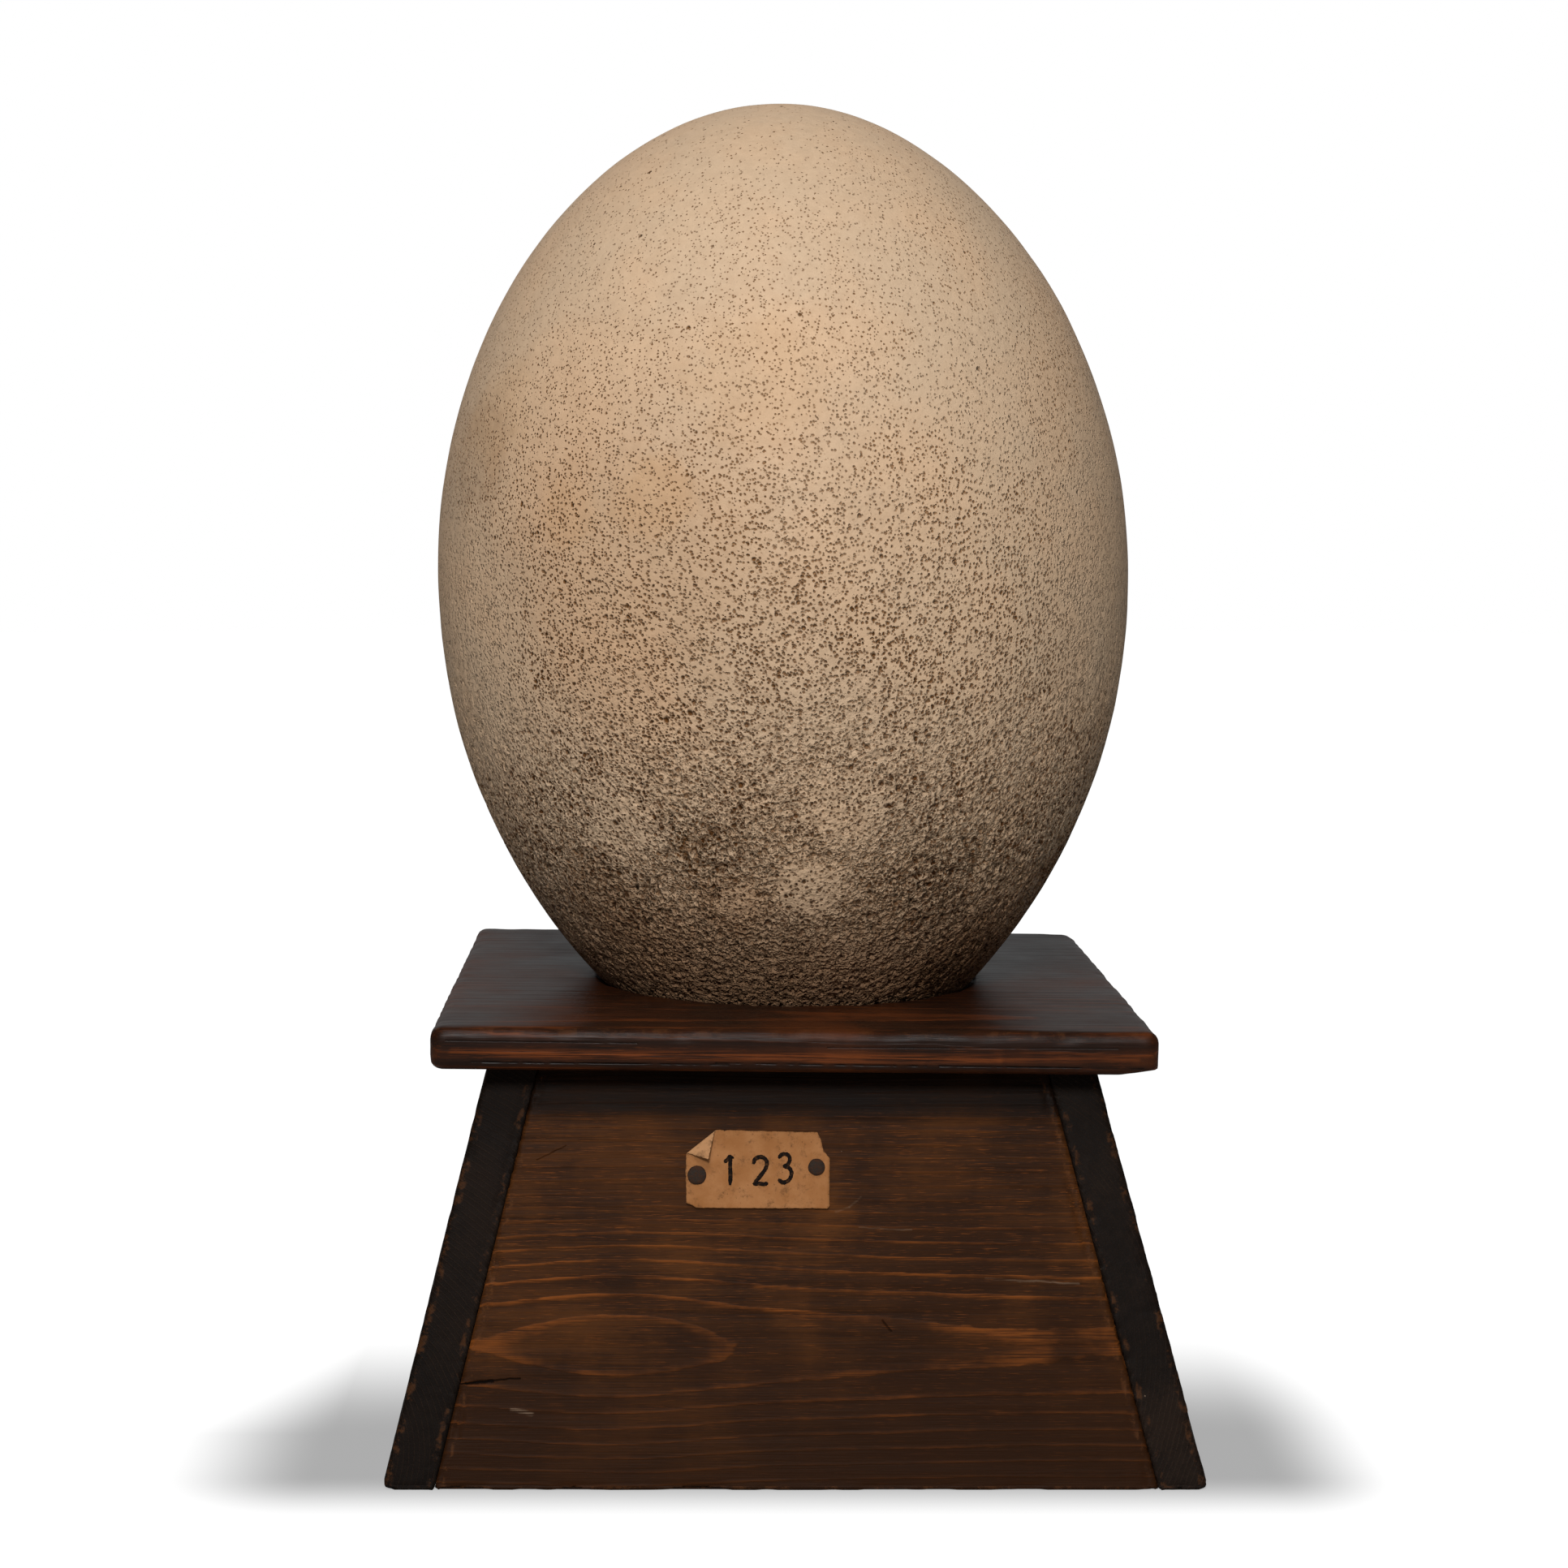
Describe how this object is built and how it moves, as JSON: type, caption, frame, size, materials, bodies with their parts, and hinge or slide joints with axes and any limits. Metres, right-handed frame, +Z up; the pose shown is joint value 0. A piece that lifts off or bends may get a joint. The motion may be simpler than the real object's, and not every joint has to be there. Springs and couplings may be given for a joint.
{
  "type": "elephant bird egg on a wooden stand",
  "caption": "Blown elephant bird egg with a pitted shell, upright in a round seat in the top board of a hollow, open-bottomed wooden stand with sloping sides and a tacked paper label.",
  "frame": {"origin": "middle of the stand's open bottom, on the surface it rests on", "axes": "+Z up through the stand and the egg, -Y towards the front board with the label, +X to the right of someone who reads the label"},
  "size_m": [0.2498, 0.2512, 0.4286],
  "materials": {
    "eggshell": "matte cream eggshell with brown dirt in its pores and pits",
    "top_board_wood": "dark stained pine, worn satin",
    "base_wood": "brown stained pine with orange grain lines, satin",
    "side_wood": "near-black stained pine, dull end grain",
    "old_paper": "browned matte paper with dirt stains",
    "tack_iron": "dark oxidised iron"
  },
  "bodies": {
    "root": {"egg": "eggshell", "top_board": "top_board_wood", "front_board": "base_wood", "back_board": "base_wood", "left_board": "side_wood", "right_board": "side_wood", "label": "old_paper", "left_tack": "tack_iron", "right_tack": "tack_iron"}
  },
  "joints": []
}
